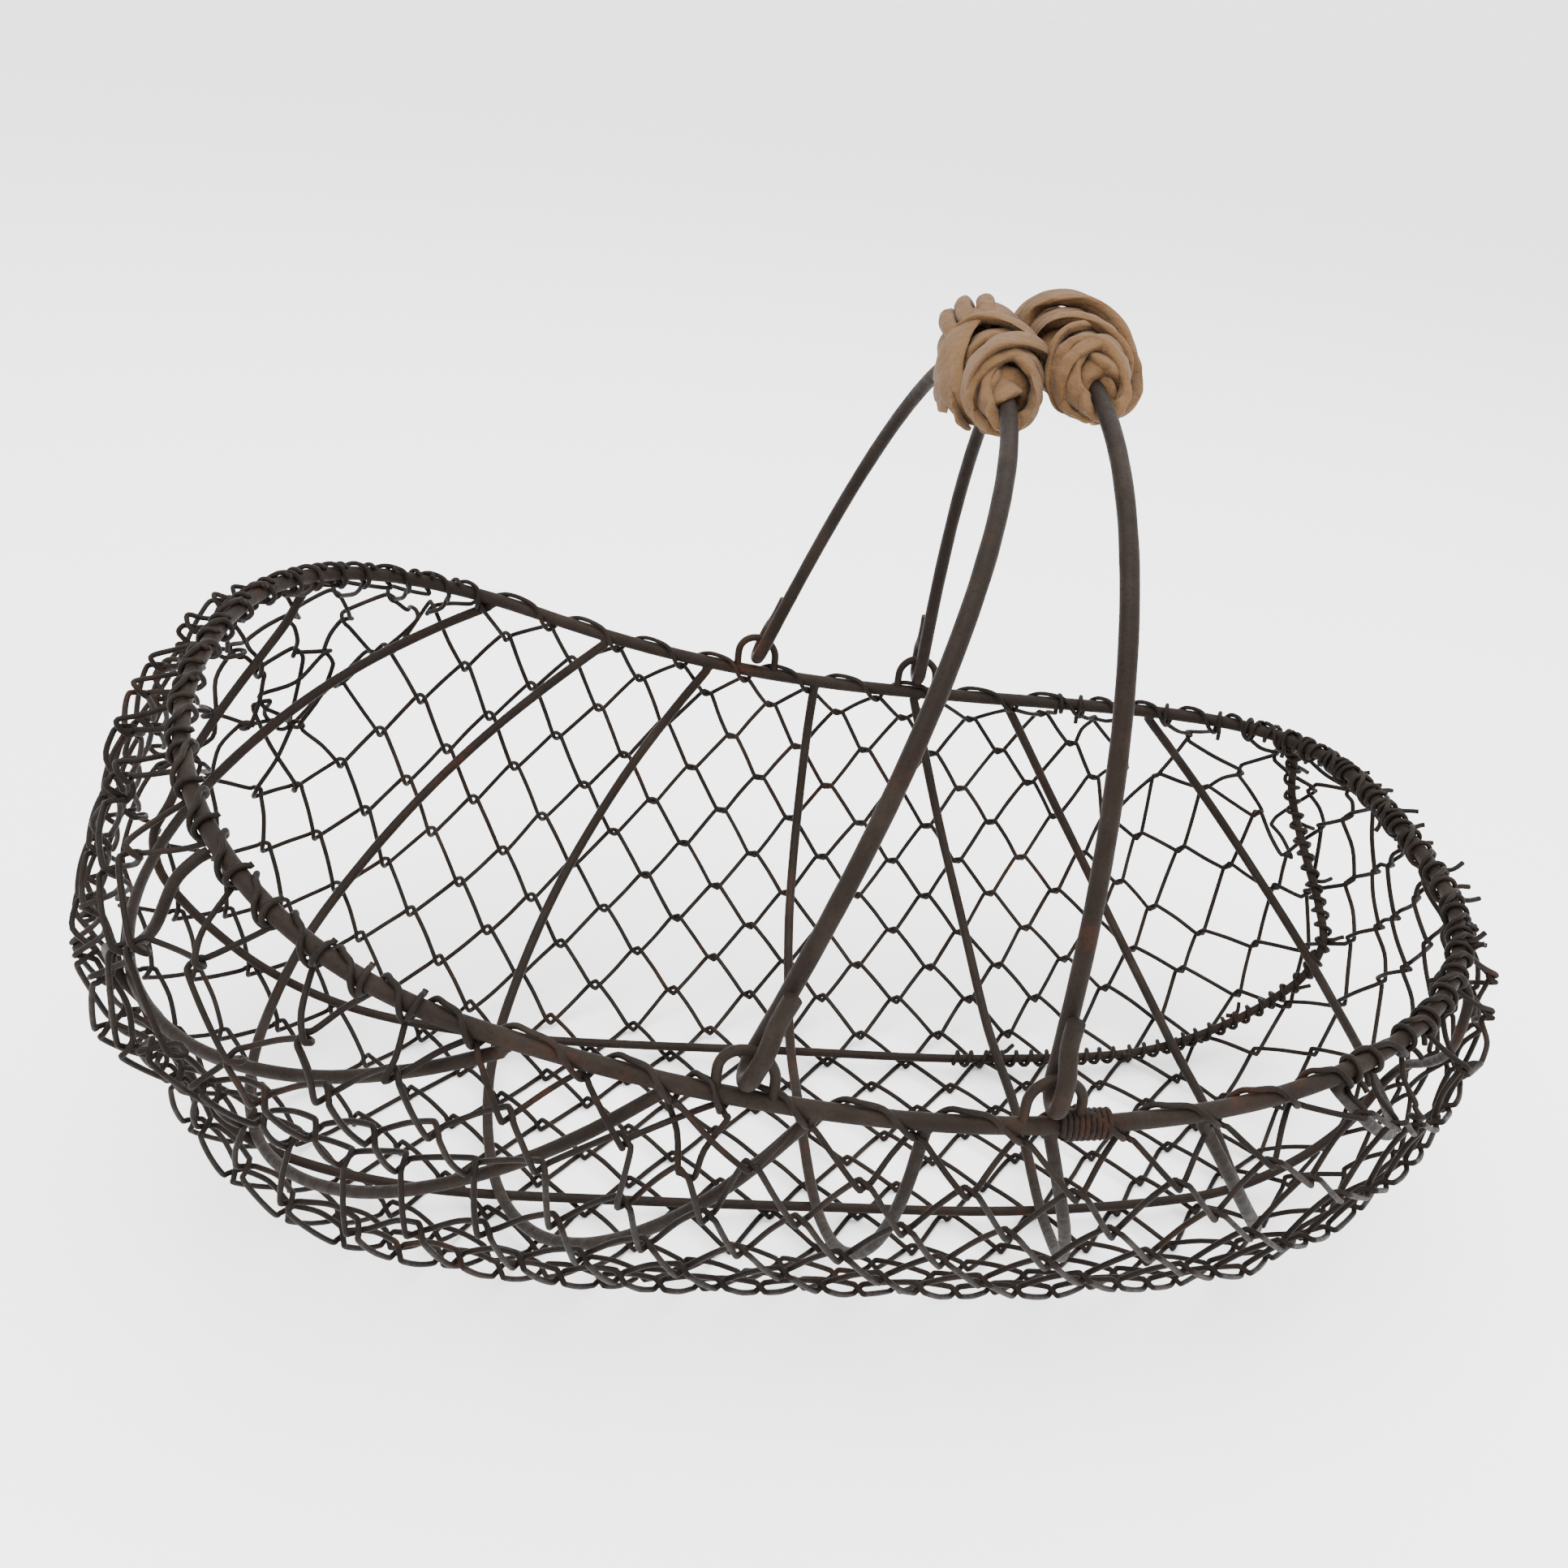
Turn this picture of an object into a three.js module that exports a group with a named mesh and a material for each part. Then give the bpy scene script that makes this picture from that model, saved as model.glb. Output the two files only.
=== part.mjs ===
// A saddle-rimmed garden basket of welded rod and chain-link wire, with two
// bail handles hooked through eyes on the rim and bound with fibre strip.
// Millimetres. +X runs from the tall end to the low end, +Y to the far side,
// +Z up. The origin is on the floor, under the middle of the basket.
import * as THREE from 'three';

// Rim: one 6 mm rod, bent to an egg plan that is wide at the tall end.
const RIM_RADIUS = 3;
const RIM_WIDEST_X = -130;
const RIM_TALL_REACH = 116;
const RIM_LOW_REACH = 370;
const RIM_HALF_WIDTH = 170;
const RIM_FLARE = 0.06;
const RIM_FLARE_RUN = 250;
const RIM_TALL_SQUARENESS = 2.3;
const RIM_LOW_SQUARENESS = 3;
const RIM_DIP_X = 34;
const RIM_DIP_HEIGHT = 146;
const RIM_TALL_RISE = 0.91e-3;
const RIM_LOW_RISE = 0.2e-3;
const RIM_BUTT_GAP = 0.5;
const RIM_STEPS = 84;
const WELD_GAP = 0.45;
// The low end of the rim leans to the far side, as it was bent by hand.
const LOW_END_LEAN = 36;
const LEAN_RUN = 206;

// Ribs: seven rods under the rim, fanned so that the end ones lean outwards.
const RIB_RADIUS = 2.25;
const RIB_SECTION_POWER = 2;
const RIB_FLOOR = 13.2;
const FLOOR_BLEND = 3;
const RIB_STEPS = 22;
const RIBS = [
  { far: -155, near: -118, keel: -280, height: 106 },
  { far: -102, near: -72, keel: -238, height: 32 },
  { far: -54, near: -28, keel: -142, height: 6 },
  { far: -3, near: 5, keel: -8, height: 6 },
  { far: 45, near: 44, keel: 90, height: 6 },
  { far: 90, near: 94, keel: 180, height: 10 },
  { far: 158, near: 144, keel: 243, height: 52 },
];
const END_STATION = 4;

// Stringers: two rods that cross under the ribs and climb to the rim.
const STRINGER_RADIUS = 2;
const STRINGER_SIDE = 0.2;
const STRINGER_END_STATION = 3.51;
const STRINGER_END_SIDE = 0.94;
const STRINGER_CLIMB_FROM = 2.9;
const STRINGER_CLIMB_TO = 3.64;
const STRINGER_GAP = 0.4;
const STRINGER_STEPS = 44;

// Eyes: horseshoes of 3.5 mm rod, standing on the rim.
const EYE_RADIUS = 1.75;
const EYE_HALF_WIDTH = 9;
const EYE_CROWN = 17.5;
const EYE_GAP = 0.3;
const EYE_STEPS = 10;

// Bails: 6 mm rod arches with hooked ends.
const BAIL_RADIUS = 3;
const BAIL_POWER = 2.55;
const BAIL_HEIGHT = 193;
const BAIL_SWAY = -5;
const HINGE_ABOVE_RIM = 7.5;
const HOOK_BEND = 5.8;
const HOOK_STRAIGHT = 14;
const HOOK_TAIL = 32;
const HOOK_TAIL_START = 22;
const HOOK_TAIL_STAND_OFF = 6.8;
const HOOK_STEPS = 6;
const ARCH_STEPS = 34;
const BAILS = {
  left: { near: -52, far: -33, lean: 20 },
  right: { near: 44, far: 46, lean: 1.5 },
};

// Grips: the bound middle of each bail.
const GRIP_RADIUS = 12;
const GRIP_BORE = 3.7;
const GRIP_HALF_LENGTH = 52;
const GRIP_SIDES = 10;

// Net: chain-link, one zigzag strand beside the next, inner and outer in turn.
const WIRE = 1.6;
const WIRE_HALF_WIDTH = 1.12;
const LINK = 18.3;
const ROW = 17.2;
const HOOK_OVERLAP = 1.6;
const NET_OFFSET = 11.8;
const NET_RIM_TUCK = 3;
const NET_RIM_TUCK_POWER = 6;
const ROW_MARGIN = 0.6 * ROW;
const NET_LAYER = 2;
const NET_END_STATION = 3.7;
const NET_END_SLACK = 0.05;
const MOST_COLUMNS = 60;
const GATHER_STEP = 17;
const GATHER_BULGE = 8;
const GATHER_RUN = 65;
const RIM_OFFSET = 9.2;
const STRANDS_PER_SIDE = 14;
const NET_FLOOR = WIRE / 2 + NET_LAYER;
const FLAT_BAND = 3;
const FLAT_BLEND = 14;
const SETTLE_ROUNDS = 120;
const SETTLE_PULL = 1.6;
// What ties a knot to the others: columns and rows away, length, stiffness.
const TIES = [
  [1, 1, Math.hypot(LINK, ROW), 1],
  [1, -1, Math.hypot(LINK, ROW), 1],
  [2, 0, 2 * LINK, 0.5],
  [0, 2, 2 * ROW, 0.5],
];

// Lengths along X are laid out first; this then centres the whole basket.
const MIDDLE_SHIFT = 18;

// How finely curves are measured and rods are faceted.
const RIM_SAMPLES = 720;
const RIM_CHECKS = 1400;
const CURVE_SAMPLES = 400;
const LONG_CURVE_DIVISIONS = 3000;
const SHORT_CURVE_DIVISIONS = 1200;
const GIRTH_SAMPLES = 60;
const TABLES_PER_STATION = 50;
const THICK_ROD_SIDES = 8;
const THIN_ROD_SIDES = 6;

// Colours.
const IRON = { color: 0x3b332d, roughness: 0.78, metalness: 0.75 };
const WIRE_IRON = { color: 0x3a3430, roughness: 0.72, metalness: 0.75 };
const BOUND_STRIP = { color: 0xa67c4e, roughness: 0.95, metalness: 0 };

const group = new THREE.Group();
group.position.x = MIDDLE_SHIFT;
const UP = new THREE.Vector3(0, 0, 1);

// A rod's centre line through given stations, with the section's frame at each.
class Route extends THREE.Curve {
  constructor(points, outward = null) {
    super();
    this.points = points;
    this.outward = outward;
  }

  getPoint(t) {
    return this.points[Math.round(t * (this.points.length - 1))].clone();
  }

  getPointAt(u) {
    return this.getPoint(u);
  }

  computeFrenetFrames(segments) {
    const tangents = [];
    const normals = [];
    const binormals = [];
    for (let k = 0; k <= segments; k += 1) {
      const before = this.points[Math.max(k - 1, 0)];
      const after = this.points[Math.min(k + 1, segments)];
      const here = this.points[k];
      const arriving = here.clone().sub(before).normalize();
      const leaving = after.clone().sub(here).normalize();
      tangents.push(arriving.add(leaving).normalize());
      const guide = this.outward ? this.outward[k] : normals[k - 1] ?? this.firstGuide(tangents[0]);
      const normal = guide.clone().addScaledVector(tangents[k], -guide.dot(tangents[k]));
      normals.push(normal.normalize());
      binormals.push(new THREE.Vector3().crossVectors(tangents[k], normals[k]));
    }
    return { tangents, normals, binormals };
  }

  firstGuide(tangent) {
    return Math.abs(tangent.z) < 0.9 ? UP : new THREE.Vector3(1, 0, 0);
  }
}

function roundSection(radius, sides) {
  const outline = [];
  for (let k = 0; k < sides; k += 1) {
    const angle = (2 * Math.PI * k) / sides;
    outline.push(new THREE.Vector2(radius * Math.cos(angle), radius * Math.sin(angle)));
  }
  return outline;
}

function sweep(section, points, outward) {
  const path = new Route(points, outward);
  return new THREE.ExtrudeGeometry(section, { steps: points.length - 1, extrudePath: path });
}

function rod(radius, sides, points, outward) {
  return sweep(new THREE.Shape(roundSection(radius, sides)), points, outward);
}

function add(name, geometry, look) {
  const mesh = new THREE.Mesh(geometry, new THREE.MeshStandardMaterial(look));
  mesh.name = name;
  group.add(mesh);
}

function power(value, exponent) {
  return Math.sign(value) * Math.abs(value) ** exponent;
}

function lean(x) {
  return LOW_END_LEAN * (Math.max(x - RIM_DIP_X, 0) / LEAN_RUN) ** 2;
}

// The rim's point at an angle: 0 at the low end, PI at the tall end, + far side.
function rimPoint(angle) {
  const along = Math.cos(angle);
  const tall = along < 0;
  const bend = 2 / (tall ? RIM_TALL_SQUARENESS : RIM_LOW_SQUARENESS);
  const x = RIM_WIDEST_X + power(along, bend) * (tall ? RIM_TALL_REACH : RIM_LOW_REACH);
  const y = RIM_HALF_WIDTH * power(Math.sin(angle), bend) * (1 + RIM_FLARE * (x / RIM_FLARE_RUN));
  const rise = x < RIM_DIP_X ? RIM_TALL_RISE : RIM_LOW_RISE;
  return new THREE.Vector3(x, y + lean(x), RIM_DIP_HEIGHT + rise * (x - RIM_DIP_X) ** 2);
}

function rimAngleAt(x) {
  const tall = x < RIM_WIDEST_X;
  const share = (x - RIM_WIDEST_X) / (tall ? RIM_TALL_REACH : RIM_LOW_REACH);
  return Math.acos(power(share, (tall ? RIM_TALL_SQUARENESS : RIM_LOW_SQUARENESS) / 2));
}

// The basket's shell: U sections through the ribs, closing to a point at each
// end of the rim. A station counts ribs from the middle one; side runs from
// -1 at the near rim through 0 on the keel to 1 at the far rim.
const tallEnd = rimPoint(Math.PI);
const lowEnd = rimPoint(0);
const rimRun = new THREE.CatmullRomCurve3(
  [
    new THREE.Vector3(Math.PI, Math.PI, 0),
    ...RIBS.map((rib) => new THREE.Vector3(rimAngleAt(rib.far), rimAngleAt(rib.near), 0)),
    new THREE.Vector3(0, 0, 0),
  ],
  false,
  'catmullrom',
);
const keelRun = new THREE.CatmullRomCurve3(
  [tallEnd, ...RIBS.map((rib) => new THREE.Vector3(rib.keel, lean(rib.keel), rib.height)), lowEnd],
  false,
  'catmullrom',
);

function smoothMax(a, b, blend) {
  return (a + b + Math.hypot(a - b, blend)) / 2;
}

function shellPoint(station, side) {
  const t = (station + END_STATION) / (2 * END_STATION);
  const angles = rimRun.getPoint(t);
  const far = rimPoint(angles.x);
  const near = rimPoint(-angles.y);
  const middle = far.clone().add(near).multiplyScalar(0.5);
  const halfChord = far.clone().sub(near).multiplyScalar(0.5);
  const drop = keelRun.getPoint(t).sub(middle);
  const turn = (Math.PI / 2) * side;
  const across = power(Math.sin(turn), 2 / RIB_SECTION_POWER);
  const down = Math.abs(Math.cos(turn)) ** (2 / RIB_SECTION_POWER);
  const point = middle.addScaledVector(halfChord, across).addScaledVector(drop, down);
  point.z = smoothMax(point.z, RIB_FLOOR, FLOOR_BLEND);
  return point;
}

function shellOutward(station, side) {
  const step = 0.02;
  const s = Math.min(Math.max(station, -END_STATION + 2 * step), END_STATION - 2 * step);
  const v = Math.min(Math.max(side, -1 + step), 1 - step);
  const along = shellPoint(s + step, v).sub(shellPoint(s - step, v));
  const around = shellPoint(s, v + step).sub(shellPoint(s, v - step));
  return around.cross(along).normalize();
}

function closedRimCurve() {
  const rough = [];
  for (let k = 0; k <= RIM_SAMPLES; k += 1) {
    rough.push(rimPoint((2 * Math.PI * k) / RIM_SAMPLES + Math.PI));
  }
  const curve = new THREE.CatmullRomCurve3(rough);
  curve.arcLengthDivisions = LONG_CURVE_DIVISIONS;
  return curve;
}

const rimCurve = closedRimCurve();

function rimRod() {
  const points = [];
  const trim = RIM_BUTT_GAP / rimCurve.getLength() / 2;
  for (let k = 0; k <= RIM_STEPS; k += 1) {
    points.push(rimCurve.getPointAt(trim + (k / RIM_STEPS) * (1 - 2 * trim)));
  }
  add('rim_hoop', rod(RIM_RADIUS, THICK_ROD_SIDES, points, points.map(() => UP)), IRON);
}

const rimSamples = rimCurve.getSpacedPoints(RIM_CHECKS);

function nearestRimSpot(point) {
  let nearest = 0;
  rimSamples.forEach((sample, k) => {
    if (sample.distanceTo(point) < rimSamples[nearest].distanceTo(point)) nearest = k;
  });
  return nearest;
}

// Whether a rod of this radius, heading this way, is clear of the rim.
function clearsRim(point, heading, radius) {
  const nearest = nearestRimSpot(point);
  const ahead = rimSamples[(nearest + 1) % rimSamples.length].clone();
  const alongRim = ahead.sub(rimSamples[nearest]).normalize();
  const grazing = Math.abs(alongRim.dot(heading));
  return rimSamples[nearest].distanceTo(point) > RIM_RADIUS + WELD_GAP + radius * grazing;
}

// The stretch of a curve between the places where its ends meet the rim.
function betweenRims(curve, radius, steps) {
  const scan = 0.001;
  let start = 0;
  while (!clearsRim(curve.getPointAt(start), curve.getTangentAt(start), radius)) start += scan;
  let end = 1;
  while (!clearsRim(curve.getPointAt(end), curve.getTangentAt(end), radius)) end -= scan;
  const points = [];
  for (let k = 0; k <= steps; k += 1) {
    points.push(curve.getPointAt(start + (k / steps) * (end - start)));
  }
  return points;
}

function ribRods() {
  for (let number = 1; number <= RIBS.length; number += 1) {
    const station = number - END_STATION;
    const dense = [];
    for (let k = 0; k <= CURVE_SAMPLES; k += 1) {
      dense.push(shellPoint(station, (2 * k) / CURVE_SAMPLES - 1));
    }
    const curve = new THREE.CatmullRomCurve3(dense);
    curve.arcLengthDivisions = SHORT_CURVE_DIVISIONS;
    const points = betweenRims(curve, RIB_RADIUS, RIB_STEPS);
    add(`rib_${number}`, rod(RIB_RADIUS, THIN_ROD_SIDES, points), IRON);
  }
}

function stringerRods() {
  for (const [name, sign] of [['stringer_far', 1], ['stringer_near', -1]]) {
    const dense = [];
    for (let k = 0; k <= CURVE_SAMPLES; k += 1) {
      const station = STRINGER_END_STATION * ((2 * k) / CURVE_SAMPLES - 1);
      const along = Math.abs(station);
      const climb = THREE.MathUtils.smoothstep(along, STRINGER_CLIMB_FROM, STRINGER_CLIMB_TO);
      const side = sign * (STRINGER_SIDE + (STRINGER_END_SIDE - STRINGER_SIDE) * climb ** 2);
      const gap = RIB_RADIUS + STRINGER_RADIUS + STRINGER_GAP;
      dense.push(shellPoint(station, side).addScaledVector(shellOutward(station, side), gap));
    }
    const curve = new THREE.CatmullRomCurve3(dense);
    curve.arcLengthDivisions = SHORT_CURVE_DIVISIONS;
    const points = curve.getSpacedPoints(STRINGER_STEPS);
    add(name, rod(STRINGER_RADIUS, THIN_ROD_SIDES, points), IRON);
  }
}

// Where a hinge's eye stands on the rim: the rim's point and its direction.
function rimSeat(x, sign) {
  const angle = sign * rimAngleAt(x);
  const seat = rimPoint(angle);
  const step = 0.01;
  const direction = rimPoint(angle - sign * step).sub(rimPoint(angle + sign * step)).normalize();
  return { seat, direction };
}

function eye(name, x, sign) {
  const { seat, direction } = rimSeat(x, sign);
  const outline = [];
  const foot = RIM_RADIUS + EYE_GAP;
  const crownCentre = EYE_CROWN - EYE_HALF_WIDTH;
  outline.push([-EYE_HALF_WIDTH, foot]);
  for (let k = 0; k <= EYE_STEPS; k += 1) {
    const angle = Math.PI * (1 - k / EYE_STEPS);
    outline.push([EYE_HALF_WIDTH * Math.cos(angle), crownCentre + EYE_HALF_WIDTH * Math.sin(angle)]);
  }
  outline.push([EYE_HALF_WIDTH, foot]);
  const points = outline.map(([along, height]) => {
    const point = seat.clone().addScaledVector(direction, along);
    point.z += height;
    return point;
  });
  const sideways = new THREE.Vector3().crossVectors(direction, UP).normalize();
  add(name, rod(EYE_RADIUS, THIN_ROD_SIDES, points, points.map(() => sideways)), IRON);
}

// A bail's own frame: its middle on the hinge axis, across it, and up its lean.
function bailFrame({ near, far, lean: degrees }) {
  const nearHinge = rimSeat(near, -1).seat;
  const farHinge = rimSeat(far, 1).seat;
  nearHinge.z += HINGE_ABOVE_RIM;
  farHinge.z += HINGE_ABOVE_RIM;
  const middle = nearHinge.clone().add(farHinge).multiplyScalar(0.5);
  const across = farHinge.clone().sub(nearHinge);
  const halfSpan = across.length() / 2;
  across.normalize();
  const upright = UP.clone().addScaledVector(across, -UP.dot(across)).normalize();
  const rise = upright.applyAxisAngle(across, THREE.MathUtils.degToRad(degrees));
  return { middle, across, rise, halfSpan };
}

function bailPoint(frame, sideways, height) {
  return frame.middle
    .clone()
    .addScaledVector(frame.across, sideways)
    .addScaledVector(frame.rise, height);
}

function archPoint(frame, angle) {
  const sideways = -(frame.halfSpan - HOOK_BEND) * power(Math.cos(angle), 2 / BAIL_POWER);
  const share = Math.abs(Math.sin(angle)) ** (2 / BAIL_POWER);
  return bailPoint(frame, sideways + BAIL_SWAY * share, BAIL_HEIGHT * share);
}

function hookPoints(frame, sign) {
  const hinge = sign * frame.halfSpan;
  const tail = hinge + sign * (HOOK_TAIL_STAND_OFF - HOOK_BEND);
  const points = [
    bailPoint(frame, tail, HOOK_TAIL),
    bailPoint(frame, tail, HOOK_TAIL_START),
    bailPoint(frame, hinge + sign * HOOK_BEND, HOOK_STRAIGHT),
  ];
  for (let k = 0; k <= HOOK_STEPS; k += 1) {
    const angle = (Math.PI * k) / HOOK_STEPS;
    const sideways = hinge + sign * HOOK_BEND * Math.cos(angle);
    points.push(bailPoint(frame, sideways, HOOK_BEND * (1 - Math.sin(angle))));
  }
  return points;
}

function archPoints(frame) {
  const dense = [];
  for (let k = 0; k <= CURVE_SAMPLES; k += 1) {
    dense.push(archPoint(frame, (Math.PI * k) / CURVE_SAMPLES));
  }
  const curve = new THREE.CatmullRomCurve3(dense);
  curve.arcLengthDivisions = LONG_CURVE_DIVISIONS;
  return curve.getSpacedPoints(ARCH_STEPS);
}

function bailAndGrip(name, bail) {
  const frame = bailFrame(bail);
  const arch = archPoints(frame).slice(1, -1);
  const points = [...hookPoints(frame, -1), ...arch, ...hookPoints(frame, 1).reverse()];
  const forwards = new THREE.Vector3().crossVectors(frame.across, frame.rise);
  add(`bail_${name}`, rod(BAIL_RADIUS, THICK_ROD_SIDES, points, points.map(() => forwards)), IRON);

  const bound = arch.filter((point) => {
    return Math.abs(point.clone().sub(frame.middle).dot(frame.across)) < GRIP_HALF_LENGTH;
  });
  const section = new THREE.Shape(roundSection(GRIP_RADIUS, GRIP_SIDES));
  section.holes.push(new THREE.Path(roundSection(GRIP_BORE, THICK_ROD_SIDES)));
  add(`grip_${name}`, sweep(section, bound, bound.map(() => forwards)), BOUND_STRIP);
}

// Distance round a section from the keel, turned into a side value.
function sectionTable(station) {
  const lengths = { '-1': [0], 1: [0] };
  for (const sign of [-1, 1]) {
    let previous = shellPoint(station, 0);
    for (let k = 1; k <= GIRTH_SAMPLES; k += 1) {
      const point = shellPoint(station, (sign * k) / GIRTH_SAMPLES);
      lengths[sign].push(lengths[sign][k - 1] + point.distanceTo(previous));
      previous = point;
    }
  }
  return lengths;
}

const tables = new Map();

function halfGirth(station, sign) {
  const key = Math.round(station * TABLES_PER_STATION) / TABLES_PER_STATION;
  if (!tables.has(key)) tables.set(key, sectionTable(key));
  return tables.get(key)[sign];
}

function sideAt(station, distance) {
  const lengths = halfGirth(station, distance < 0 ? -1 : 1);
  const reach = Math.abs(distance);
  const k = lengths.findIndex((length) => length >= reach);
  if (k < 0) return null;
  if (k === 0) return 0;
  const share = (reach - lengths[k - 1]) / (lengths[k] - lengths[k - 1]);
  return (Math.sign(distance) * (k - 1 + share)) / GIRTH_SAMPLES;
}

// The net's knots: row by row over the girth, a link apart along the length.
// A knot is a place on the shell, and has a neighbour on each of four sides.
function firstKnots() {
  const knots = new Map();
  for (let row = -STRANDS_PER_SIDE; row <= STRANDS_PER_SIDE; row += 1) {
    for (const direction of [-1, 1]) {
      walkRow(knots, row, direction);
    }
  }
  return knots;
}

function walkRow(knots, row, direction) {
  const rimRow = Math.abs(row) === STRANDS_PER_SIDE;
  const distance = row * ROW;
  const fine = 1 / TABLES_PER_STATION;
  let station = 0;
  let walked = 0;
  let count = 0;
  let side = rimRow ? Math.sign(row) : sideAt(0, distance);
  let previous = shellPoint(0, side);
  if (row % 2 === 0) knots.set(`0 ${row}`, { station, side, rimRow });
  while (Math.abs(station) < NET_END_STATION) {
    station += direction * fine;
    side = rimRow ? Math.sign(row) : sideAt(station, distance);
    if (!rimRow && sideAt(station, distance + Math.sign(row) * ROW_MARGIN) === null) return;
    const point = shellPoint(station, side);
    walked += point.distanceTo(previous);
    previous = point;
    if (walked < LINK * (count + 1)) continue;
    count += 1;
    if ((count + row) % 2 === 0) knots.set(`${direction * count} ${row}`, { station, side, rimRow });
  }
}

// Drops knots that too few links hold, at the cut ends of the rows.
function prune(knots) {
  for (const key of [...knots.keys()]) {
    const [column, row] = key.split(' ').map(Number);
    let links = 0;
    for (const dc of [-1, 1]) {
      for (const dr of [-1, 1]) {
        if (knots.has(`${column + dc} ${row + dr}`)) links += 1;
      }
    }
    if (links < 2) knots.delete(key);
  }
}

// Lets the knots slide over the shell until the links between them are even.
function settle(knots) {
  const ties = [];
  for (const key of knots.keys()) {
    const [column, row] = key.split(' ').map(Number);
    for (const [dc, dr, length, stiffness] of TIES) {
      const other = `${column + dc} ${row + dr}`;
      if (knots.has(other)) ties.push([knots.get(key), knots.get(other), length, stiffness]);
    }
  }
  for (let round = 0; round < SETTLE_ROUNDS; round += 1) {
    for (const knot of knots.values()) {
      knot.point = shellPoint(knot.station, knot.side);
      knot.pull = new THREE.Vector3();
      knot.weight = 0;
    }
    for (const [a, b, length, stiffness] of ties) {
      const gap = b.point.clone().sub(a.point);
      gap.multiplyScalar((0.5 * stiffness * (gap.length() - length)) / gap.length());
      a.pull.add(gap);
      b.pull.sub(gap);
      a.weight += stiffness;
      b.weight += stiffness;
    }
    for (const knot of knots.values()) slide(knot);
  }
}

function slide(knot) {
  const step = 0.01;
  const ahead = shellPoint(knot.station + step, knot.side).sub(knot.point).divideScalar(step);
  const inwards = knot.side > 0 ? -step : step;
  const beside = shellPoint(knot.station, knot.side + inwards).sub(knot.point).divideScalar(inwards);
  const pull = knot.pull.multiplyScalar(SETTLE_PULL / Math.max(knot.weight, 1));
  const aa = ahead.dot(ahead);
  const bb = beside.dot(beside);
  const ab = ahead.dot(beside);
  const pa = pull.dot(ahead);
  const pb = pull.dot(beside);
  const scale = 1 / (aa * bb - ab * ab);
  const alongMove = knot.rimRow ? pa / aa : (pa * bb - pb * ab) * scale;
  const sideMove = knot.rimRow ? 0 : (pb * aa - pa * ab) * scale;
  const limit = NET_END_STATION + NET_END_SLACK;
  knot.station = THREE.MathUtils.clamp(knot.station + alongMove, -limit, limit);
  knot.side = THREE.MathUtils.clamp(knot.side + sideMove, -1, 1);
}

// The net's belly lies flat where it stands, and rises evenly from there.
function grounded(height) {
  const above = height - NET_FLOOR;
  if (above < FLAT_BAND) return NET_FLOOR;
  if (above > FLAT_BLEND) return height;
  return NET_FLOOR + (FLAT_BLEND * (above - FLAT_BAND)) / (FLAT_BLEND - FLAT_BAND);
}

// The knots that a strand turns at, from the two rows that it runs between.
function strandTurns(knots, number) {
  const lowRow = number - STRANDS_PER_SIDE - 1;
  const turns = [];
  for (let column = -MOST_COLUMNS; column <= MOST_COLUMNS; column += 1) {
    const row = (column + lowRow) % 2 === 0 ? lowRow : lowRow + 1;
    const knot = knots.get(`${column} ${row}`);
    if (!knot) continue;
    turns.push({
      point: knot.point,
      normal: shellOutward(knot.station, knot.side),
      offset: NET_OFFSET - NET_RIM_TUCK * Math.abs(knot.side) ** NET_RIM_TUCK_POWER,
      rimRow: knot.rimRow,
    });
  }
  return turns;
}

// Carries the strands' ends on from the last whole knots to the rim, turning
// at knots that neighbours share, as the net is gathered in there.
function gatherEnds(strands, atLowEnd) {
  const count = rimSamples.length - 1;
  const ends = strands.map((turns) => turns[atLowEnd ? turns.length - 1 : 0]);
  const spots = ends.map(({ point }) => {
    const spot = nearestRimSpot(point);
    return !atLowEnd && spot > count / 2 ? spot - count : spot;
  });
  const fans = ends.map((end, k) => {
    const before = spots[Math.max(k - 1, 0)];
    const after = spots[Math.min(k + 1, spots.length - 1)];
    const spot = Math.round((before + 2 * spots[k] + after) / 4);
    const seat = rimSamples[(spot + count) % count];
    const alongRim = rimSamples[(spot + count + 1) % count].clone().sub(seat).normalize();
    const outward = new THREE.Vector3().crossVectors(alongRim, UP).normalize();
    const reach = seat.distanceTo(end.point);
    return { end, seat, outward, reach, levels: Math.max(Math.round(reach / GATHER_STEP), 1) };
  });
  const fanPlace = (fan, level) => {
    const share = Math.max(1 - level / fan.levels, 0);
    const point = fan.end.point.clone().lerp(fan.seat, share);
    const normal = fan.end.normal.clone().lerp(fan.outward, share).normalize();
    const bulge = GATHER_BULGE * (fan.reach / GATHER_RUN) * Math.sin(Math.PI * share);
    return { point, normal, offset: fan.end.offset + (RIM_OFFSET - fan.end.offset) * share + bulge };
  };
  fans.forEach((fan, k) => {
    for (let level = fan.levels - 1; level >= 0; level -= 1) {
      const mine = fanPlace(fan, level);
      const other = fans[(k + level) % 2 === 0 ? k + 1 : k - 1];
      if (other && level > 0) {
        const theirs = fanPlace(other, Math.min(level, other.levels));
        mine.point.lerp(theirs.point, 0.5);
        mine.normal.add(theirs.normal).normalize();
        mine.offset = (mine.offset + theirs.offset) / 2;
      }
      mine.rimRow = level === 0;
      if (atLowEnd) strands[k].push(mine);
      else strands[k].unshift(mine);
    }
  });
}

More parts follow.
